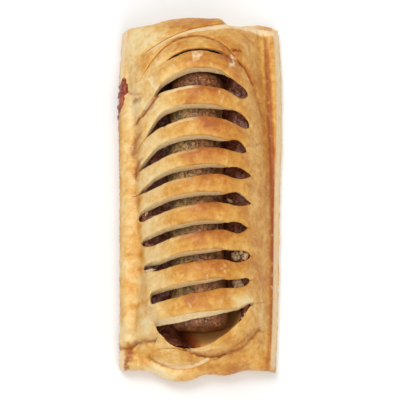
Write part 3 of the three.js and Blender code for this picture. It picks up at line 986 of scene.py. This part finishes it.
def raiseLeaves(mesh):  # single leaves of the pastry stand out of its cut walls
    depth, places = getValue(mesh, "depth"), meshPlaces(mesh)
    normals = np.empty(len(mesh.vertices) * 3)
    mesh.vertices.foreach_get("normal", normals)
    onWall = (depth > 0.01) & (depth < 0.99)
    along = (places[:, 0] + 1.7 * places[:, 1]) / millimetre
    leaf = 2 * lid["leaves"] * depth
    height = lid["leafDepth"] * (unevenness(along, leaf, 2, 7) + 0.6 * unevenness(along * 3, leaf, 2, 8))
    places += (onWall * height * millimetre)[:, None] * normals.reshape(-1, 3)
    setPlaces(mesh, places)


def finishPiece(piece, node):
    deselectAll()
    piece.select_set(True)
    bpy.context.view_layer.objects.active = piece
    bpy.ops.object.shade_smooth_by_angle(angle=math.radians(50))
    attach(piece, "root")
    if node:
        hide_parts(node)
    deselectAll()


def wasCut(x, y):  # in the openings, along the right and at the far right corner, but not on the folds
    return ((np.abs(x) < 28) & (np.abs(y) < 66)) | (x > 24) | ((x > 9) & (y > 70))


def underLid(shape):  # its underside follows the strips, but not their puffs, creases and marks
    x, y = shape.x, shape.y
    raised = shape.raised * smooth(np.minimum(x - x[:, :1], x[:, -1:] - x), 0, 5)
    z = np.maximum(bodyHeight(x, y) + raised - lid["thickness"], lid["leastUnder"])
    under = np.stack([x, y + shape.underShift, z], -1)
    under[:, 0, 0] += lid["edgeInset"]
    under[:, -1, 0] -= lid["edgeInset"]
    under[0, :, 1] += lid["edgeInset"]
    under[-1, :, 1] -= lid["edgeInset"]
    return under


def openFaces(strips, owners):  # which faces of the grid are inside an opening, by row and column
    isOpen = np.zeros((len(owners) - 1, lid["columns"]), bool)
    middles = (columnX[1:] + columnX[:-1]) / 2
    for number, strip in enumerate(strips):
        if "opening" in strip:
            start, end = strip["opening"]["ends"]
            rows = np.flatnonzero(owners == number)
            isOpen[rows[0] - 1 : rows[-1] + 1] |= (middles > start) & (middles < end)
    return isOpen


def buildLid():
    strips = makeStrips()
    rowY, owners, shares = layOutRows(strips)
    shape = shapeLid(strips, rowY, owners, shares)
    sheet, column, row = addGrid("pastryLid", lid["columns"], len(rowY) - 1)
    mesh = sheet.data
    places = np.stack([shape.x, shape.y, shape.z], -1)
    setPlaces(mesh, places[row, column] * millimetre)
    # the browning carries painted light and shade as well as the bake
    for name, values in (("browningAndLight", shape.brown), ("pale", shape.pale), ("crease", shape.crease)):
        setValue(mesh, name, values[row, column])
    setUnder(mesh, underLid(shape)[row, column])
    corners = np.array([face.vertices[:] for face in mesh.polygons])
    choose(mesh, "FACE", openFaces(strips, owners)[row[corners].min(1), column[corners].min(1)])
    bpy.ops.mesh.delete(type="FACE")
    thicken(mesh, lid["wallCuts"])
    raiseLeaves(mesh)
    mesh.materials.append(crust)
    mesh.materials.append(cutLayers)
    middleX, middleY, _ = faceMiddles(mesh).T
    mesh.polygons.foreach_set("material_index", (wallFaces(mesh) & wasCut(middleX, middleY)).astype(int))
    finishPiece(sheet, "pastry")


buildLid()
print("the lid is made")

# Under the lid: the base with the floor that shows beyond the sausage

base = {
    "columns": 90,
    "rows": 190,
    "floor": 3.4,
    "inset": 0.8,
    "clear": 0.5,  # below the lid's underside, and into it at the outer edge
    "seal": 0.9,
    "least": 0.3,
    "sideRise": 2.5,
    "sideWidth": 27,
    "wallRise": 15,  # behind the near lip of the wide opening
    "wallWidth": 12,
    "wallFrom": (-26, -12),
    "farRise": 8,
    "farFrom": (58, 70),
    "rightRise": 9,  # at the right of the sausage's near end
    "rightFrom": (11.5, 20),
    "lumps": (0.2, 4),  # how high, and how far apart
    "soakedTo": (-11, 2),
    "amber": colour(255, 188, 108),
    "rust": colour(204, 108, 50),
    "soaked": colour(96, 44, 26),
}


def floorHeight(x, y):
    side = base["sideRise"] * np.abs(x / base["sideWidth"]) ** 4
    nearLip = openings[0]["near"]
    _, skew, bow, *_ = nearLip
    inside = (y - acrossLine(*nearLip)(x)) / np.hypot(1, skew - 2 * bow * x)
    near = base["wallRise"] * np.clip(1 - inside / base["wallWidth"], 0, 1) ** 1.3
    near = near * smooth(x, *base["wallFrom"])
    far = base["farRise"] * smooth(y, *base["farFrom"])
    right = base["rightRise"] * smooth(x, *base["rightFrom"]) * smooth(-y, 48, 54)
    height, size = base["lumps"]
    return base["floor"] + side + near + far + right + height * unevenness(x, y, size, 11)


def beyondSauce(x, y):  # how far right of the slanting line at which the sauce ends, by the near lip
    return x + 0.5 * (y + 61)


def makeFloor():  # soaked dark where it touches the sauce
    nodes = Nodes("soakedFloor")
    mottle = nodes.noise(260, 3, 0.6)
    wetness = nodes.shift(nodes.value("soaked"), mottle, 0.5)
    tone = nodes.ramp(wetness, (0.15, base["amber"]), (0.5, base["rust"]), (0.85, base["soaked"]))
    return nodes.finish(
        {
            "Base Color": tone,
            "Roughness": 0.4,
            "Subsurface Weight": 0.5,
            "Subsurface Radius": (0.004, 0.002, 0.001),
            "Normal": nodes.bump(mottle, 0.0008, 0.6),
        }
    )


def buildBase():
    piece, column, row = addGrid("pastryBase", base["columns"], base["rows"])
    mesh = piece.data
    acrossShare, alongShare = column / base["columns"], row / base["rows"]
    guessX = middleLeft + acrossShare * (middleRight - middleLeft)
    near, far = outline["near"](guessX) + base["inset"], outline["far"](guessX) - base["inset"]
    y = near + alongShare * (far - near)
    left, right = outline["left"](y) + base["inset"], outline["right"](y) - base["inset"]
    x = left + acrossShare * (right - left)
    fromEdge = np.minimum.reduce([x - left, right - x, y - near, far - y])
    clear = base["clear"] - base["seal"] * (1 - smooth(fromEdge, 0, 3))
    top = np.minimum(bodyHeight(x, y) - lid["thickness"] - clear, floorHeight(x, y))
    top = np.maximum(top, base["least"])
    setPlaces(mesh, np.stack([x, y, top], -1) * millimetre)
    for name, value in (("browningAndLight", 0.55), ("pale", 0), ("crease", 0)):
        setValue(mesh, name, value + 0 * x)
    setValue(mesh, "soaked", 1 - smooth(beyondSauce(x, y), *base["soakedTo"]) * smooth(-y, 46, 52))
    edge = np.maximum(np.abs(2 * acrossShare - 1), np.abs(2 * alongShare - 1)) ** 40
    under = np.stack([x * (1 - 0.012 * edge), y * (1 - 0.006 * edge), 0 * x], -1)
    setUnder(mesh, under)
    for material in (makeFloor(), bakedLayers, crust):
        mesh.materials.append(material)
    thicken(mesh, 2)
    below = faceMiddles(mesh)[:, 2] < 0.05
    mesh.polygons.foreach_set("material_index", np.where(below, 2, wallFaces(mesh).astype(int)))
    finishPiece(piece, None)


buildBase()
print("the base is made")

# The sausage: minced meat with a fried, finely wrinkled skin, cut square at its near end

sausage = {
    "near": -61.6,
    "far": 53,
    "radius": 11.7,
    "axisZ": 16.6,
    "axisX": through((-64, 0.2), (-30, -1), (10, -1.9), (55, -1.2)),
    "sides": 150,
    "rings": 210,
    "nearRound": 4.5,
    "farRound": 6,
    "capInsets": 6,
    "capInset": 1.6,
    "capBow": 1,
    "capLumps": 0.5,
    "wrinkles": [(0.28, 6.6, 3.4, 4), (0.13, 11, 1.3, 9)],  # height, how many round it, length, seed
    "waves": [(0.3, 9, 1), (0.2, 4.7, 0)],  # height, length, where they start
}
meatLook = {
    "olive": colour(196, 158, 98),
    "brown": colour(190, 128, 78),
    "red": colour(170, 104, 60),
    "dark": colour(66, 36, 18),
    "speck": colour(226, 190, 134),
}


def makeMeat():
    look = meatLook
    nodes = Nodes("friedMeat")
    lumps = nodes.noise(420, 4, 0.6)
    mince = nodes.noise(1500, 3, 0.6)
    place = nodes.add("ShaderNodeSeparateXYZ")
    nodes.feed(place.inputs[0], nodes.place)
    # olive and grey on the left, brown on the right, redder towards both ends
    side = nodes.between(nodes.shift(place.outputs["X"], lumps, 0.02), -0.007, 0.002)
    skin = nodes.mix(side, look["olive"], look["brown"])
    nearEnd = nodes.between(place.outputs["Y"], -0.045, -0.055)
    farEnd = nodes.between(place.outputs["Y"], 0.034, 0.044)
    skin = nodes.mix(nodes.math("ADD", nearEnd, farEnd, clamp=True), skin, look["red"])
    light = nodes.between(nodes.shift(lumps, mince, 0.6), 0.4, 0.66)
    tone = nodes.mix(light, nodes.mix(0.62, skin, look["dark"]), skin)
    folds = nodes.math("ABSOLUTE", nodes.math("SUBTRACT", nodes.noise(230, 4, 0.6, distortion=1.2), 0.5))
    fold = nodes.between(folds, -0.014, 0.035)
    tone = nodes.mix(fold, look["dark"], tone)
    specks = nodes.between(nodes.noise(1700, 2, 0.5), 0.62, 0.7)
    tone = nodes.mix(nodes.math("MULTIPLY", specks, 0.75), tone, look["speck"])
    relief = nodes.bump(lumps, 0.001, 0.8, nodes.bump(fold, 0.0006, 0.8))
    relief = nodes.bump(mince, 0.0003, 0.7, relief)
    return nodes.finish({"Base Color": tone, "Roughness": nodes.shift(0.4, mince, 0.5), "Normal": relief})


def shapeSausage(x, y, z):  # its rims rounded, its skin wrinkled and its near end bowed
    radial, angle = np.hypot(x, z - sausage["axisZ"]), np.arctan2(z - sausage["axisZ"], x)
    outward = radial / sausage["radius"]
    onCap = (y < sausage["near"] + 0.01) | (y > sausage["far"] - 0.01)
    nearLoss = rounding(y - sausage["near"], sausage["nearRound"]) * sausage["nearRound"]
    farLoss = rounding(sausage["far"] - y, sausage["farRound"]) * sausage["farRound"]
    swell = sum(height * np.sin(y / length + start) for height, length, start in sausage["waves"])
    for height, around, along, seed in sausage["wrinkles"]:
        swell += height * np.array([noise.noise((a * around, b / along, seed)) for a, b in zip(angle, y)])
    girth = radial * (1 - (nearLoss + farLoss) / sausage["radius"])
    girth += np.where(onCap, 0, swell) * np.clip(outward, 0, 1)
    x = girth * np.cos(angle) + sausage["axisX"](y)
    z = girth * np.sin(angle) + sausage["axisZ"]
    y = y + np.where(onCap & (y < 0), sausage["capBow"] * outward**2, 0)
    y = y + np.where(onCap, sausage["capLumps"] * unevenness(x, z, 3, 6), 0)
    return np.stack([x, y, z], -1)


def buildSausage():
    length = sausage["far"] - sausage["near"]
    middle = Vector((0, (sausage["far"] + sausage["near"]) / 2, sausage["axisZ"]))
    deselectAll()
    bpy.ops.mesh.primitive_cylinder_add(
        vertices=sausage["sides"],
        radius=sausage["radius"] * millimetre,
        depth=length * millimetre,
        location=middle * millimetre,
        rotation=(math.pi / 2, 0, 0),
    )
    piece = bpy.context.object
    piece.name = "sausage"
    bpy.ops.object.transform_apply(location=True, rotation=True, scale=True)
    mesh = piece.data
    # rings along it, and on its two ends
    endY = meshPlaces(mesh)[edgeEnds(mesh), 1] / millimetre
    choose(mesh, "EDGE", np.abs(endY[:, 0] - endY[:, 1]) > 1)
    bpy.ops.mesh.subdivide(number_cuts=sausage["rings"])
    bpy.ops.object.mode_set(mode="OBJECT")
    choose(mesh, "FACE", np.array([len(face.vertices) > 4 for face in mesh.polygons]))
    for _ in range(sausage["capInsets"]):
        bpy.ops.mesh.inset(thickness=sausage["capInset"] * millimetre)
    bpy.ops.object.mode_set(mode="OBJECT")
    setPlaces(mesh, shapeSausage(*(meshPlaces(mesh) / millimetre).T) * millimetre)
    mesh.materials.append(makeMeat())
    finishPiece(piece, "frikandel")


buildSausage()
print("the sausage is made")

# The curry sauce, thick and wet, higher along the right-hand wall

sauce = {
    "columns": 120,
    "rows": 300,
    "left": -27.5,
    "right": 25.5,
    "near": -68,
    "far": 64,
    "levelLeft": 12.5,
    "levelRight": 20,
    "rightFrom": (6, 16),
    "bottom": 2.6,
    "least": 0.2,
    "ripples": [(0.7, 2.3, 4.1), (0.5, -3.3, 2.7)],  # height, lengths across and along
    "lumps": [(0.8, 3.2, 21), (0.35, 1.3, 22)],  # height, how far apart, seed
    "thin": 1.1,  # beyond the sausage's near end
    "thinFrom": (51, 58),
}
wetLook = {"thick": colour(164, 104, 84), "thin": colour(132, 72, 47), "dark": colour(86, 40, 25)}
driedLook = {"thick": colour(188, 90, 52), "thin": colour(142, 56, 32), "dark": colour(92, 32, 20)}


def sauceLevel(x, y):
    rise = sauce["levelRight"] - sauce["levelLeft"]
    level = sauce["levelLeft"] + rise * smooth(x, *sauce["rightFrom"])
    for height, lengthX, lengthY in sauce["ripples"]:
        level = level + height * np.sin(x / lengthX + y / lengthY)
    for height, size, seed in sauce["lumps"]:
        level = level + height * unevenness(x, y, size, seed)
    thinLevel = floorHeight(x, y) + sauce["thin"] + 0.3 * unevenness(x, y, 2.5, 23)
    level = level + (thinLevel - level) * smooth(-y, *sauce["thinFrom"])
    # the floor shows beyond the sausage, but not along the right-hand wall
    bare = smooth(beyondSauce(x, y), -12, -2) * smooth(-y, 45, 50)
    bare = bare * (1 - smooth(x - 0.2 * (y + 50), 16, 18.5))
    return level - bare * (level - base["floor"] + 3)


def makeSauce(name, look):
    nodes = Nodes(name)
    lumps = nodes.noise(500, 3, 0.6)
    fine = nodes.noise(1700, 2, 0.5)
    depth = nodes.shift(lumps, fine, 0.3)
    tone = nodes.ramp(depth, (0.3, look["dark"]), (0.5, look["thin"]), (0.7, look["thick"]))
    relief = nodes.bump(fine, 0.0003, 0.7, nodes.bump(lumps, 0.0008, 0.7))
    return nodes.finish({"Base Color": tone, "Roughness": 0.16, "Specular IOR Level": 0.6, "Normal": relief})


wetSauce = makeSauce("currySauce", wetLook)
driedSauce = makeSauce("driedSauce", driedLook)


def buildSauce():
    piece, column, row = addGrid("currySauce", sauce["columns"], sauce["rows"])
    mesh = piece.data
    x = sauce["left"] + column / sauce["columns"] * (sauce["right"] - sauce["left"])
    y = sauce["near"] + row / sauce["rows"] * (sauce["far"] - sauce["near"])
    top = np.minimum(sauceLevel(x, y), bodyHeight(x, y) - lid["thickness"] * 0.6)
    top = np.maximum(top, sauce["bottom"] + sauce["least"])
    setPlaces(mesh, np.stack([x, y, top], -1) * millimetre)
    setUnder(mesh, np.stack([x, y, 0 * x + sauce["bottom"]], -1))
    thicken(mesh, 1)
    mesh.materials.append(wetSauce)
    finishPiece(piece, "curry_sauce")


# Bits of onion in the sauce, each a ball drawn out, bent and ridged
onions = [  # place across and along, height above the sauce, half sizes, turn, ridges
    ((12.9, -4.9), 0.6, (0.75, 1.5, 0.7), 0.9, 0),
    ((15.4, -29.6), 0.6, (2.2, 2, 1.1), 0.3, 0),
    ((19.2, -30), 0.3, (1.3, 1.8, 0.9), -0.5, 0),
    ((17.6, -28), 0.5, (1.3, 0.8, 0.8), 1.2, 0),
    ((16, -41.9), 1.1, (2.1, 2.7, 1.3), 0.5, 5),
    ((-21.6, -35.3), 3.4, (2.3, 0.8, 0.9), 0.2, 4),
    ((-23.2, -9.8), 2.2, (0.5, 0.9, 0.4), -0.6, 0),
    ((-9, 24.5), -0.6, (0.6, 1.2, 0.5), 0.8, 0),
    ((19, -56), 0.6, (0.5, 0.7, 0.4), 0.3, 0),
    ((17.6, -57.4), 0.5, (0.5, 0.6, 0.4), 0.9, 0),
]
onionLook = {
    "stained": colour(120, 78, 52),
    "dull": colour(196, 160, 116),
    "pale": colour(236, 214, 176),
    "lumps": 0.25,
    "ridgeHeight": 0.12,
    "bend": 0.25,
}


def makeOnion():
    nodes = Nodes("onion")
    cloudy = nodes.noise(900, 3, 0.6)
    look = onionLook
    tone = nodes.ramp(cloudy, (0.34, look["stained"]), (0.46, look["dull"]), (0.64, look["pale"]))
    return nodes.finish(
        {
            "Base Color": tone,
            "Roughness": 0.3,
            "Subsurface Weight": 0.2,
            "Subsurface Radius": (0.001, 0.0007, 0.0004),
            "Normal": nodes.bump(cloudy, 0.0004, 0.6),
        }
    )


def addOnion(number, place, above, halfSizes, turn, ridges):
    deselectAll()
    bpy.ops.mesh.primitive_uv_sphere_add(segments=36, ring_count=24, radius=millimetre)
    piece = bpy.context.object
    ball = meshPlaces(piece.data) / millimetre
    swell = 1 + onionLook["lumps"] * unevenness(ball[:, 0] + number, ball[:, 1] + ball[:, 2], 0.7, 33)
    if ridges:
        swell = swell + onionLook["ridgeHeight"] * np.cos(ball[:, 0] * ridges * np.pi)
    x, y, z = (ball * swell[:, None] * halfSizes).T
    z = z + onionLook["bend"] * y**2 / halfSizes[1]
    placeX, placeY = place
    z = z + sauceLevel(np.array([placeX]), np.array([placeY])) + above
    cos, sin = math.cos(turn), math.sin(turn)
    turned = np.stack([x * cos - y * sin + placeX, x * sin + y * cos + placeY, z], -1)
    setPlaces(piece.data, turned * millimetre)
    return piece


def buildOnions():
    onionBits = joined([addOnion(number, *onion) for number, onion in enumerate(onions)], "onionBits")
    onionBits.data.materials.append(makeOnion())
    finishPiece(onionBits, None)


buildSauce()
buildOnions()
print("the sauce is made")

# Sauce that has leaked out at the left edge, run down it and dried there

leak = {
    "drops": [  # place, half sizes
        ((-33.6, 48.8, 8.5), (2.1, 3.2, 3)),
        ((-34, 52.2, 8.2), (1.3, 2.2, 2.2)),
        ((-34.6, 44, 7.6), (1.6, 5, 2.6)),
        ((-35.1, 38.6, 6.2), (1.3, 5.2, 2.4)),
        ((-35.6, 46.6, 5.6), (1.2, 1.7, 3.8)),
        ((-35.8, 41.6, 4.6), (1.2, 1.5, 3.6)),
        ((-35.9, 36.8, 5), (1, 1.4, 2.6)),
        ((-35.3, 50.2, 6.8), (1, 1.2, 2.8)),
    ],
    "voxel": 0.28,
    "lumps": [(0.5, 1.6, 31), (0.25, 0.7, 32)],  # height, how far apart, seed
}


def buildLeak():
    drops = []
    for place, halfSizes in leak["drops"]:
        deselectAll()
        place, halfSizes = Vector(place) * millimetre, Vector(halfSizes) * millimetre
        bpy.ops.mesh.primitive_ico_sphere_add(subdivisions=4, radius=1, location=place, scale=halfSizes)
        bpy.ops.object.transform_apply(location=True, rotation=True, scale=True)
        drops.append(bpy.context.object)
    piece = joined(drops, "leakedSauce")
    mesh = piece.data
    mesh.remesh_voxel_size = leak["voxel"] * millimetre
    bpy.ops.object.voxel_remesh()
    places = meshPlaces(mesh) / millimetre
    for height, size, seed in leak["lumps"]:
        places[:, 0] -= height * unevenness(places[:, 1], places[:, 2], size, seed)
    places[:, 2] = np.maximum(places[:, 2], 0.05)
    setPlaces(mesh, places * millimetre)
    mesh.materials.append(driedSauce)
    finishPiece(piece, "leaked_sauce")


buildLeak()
print("the leak is made")
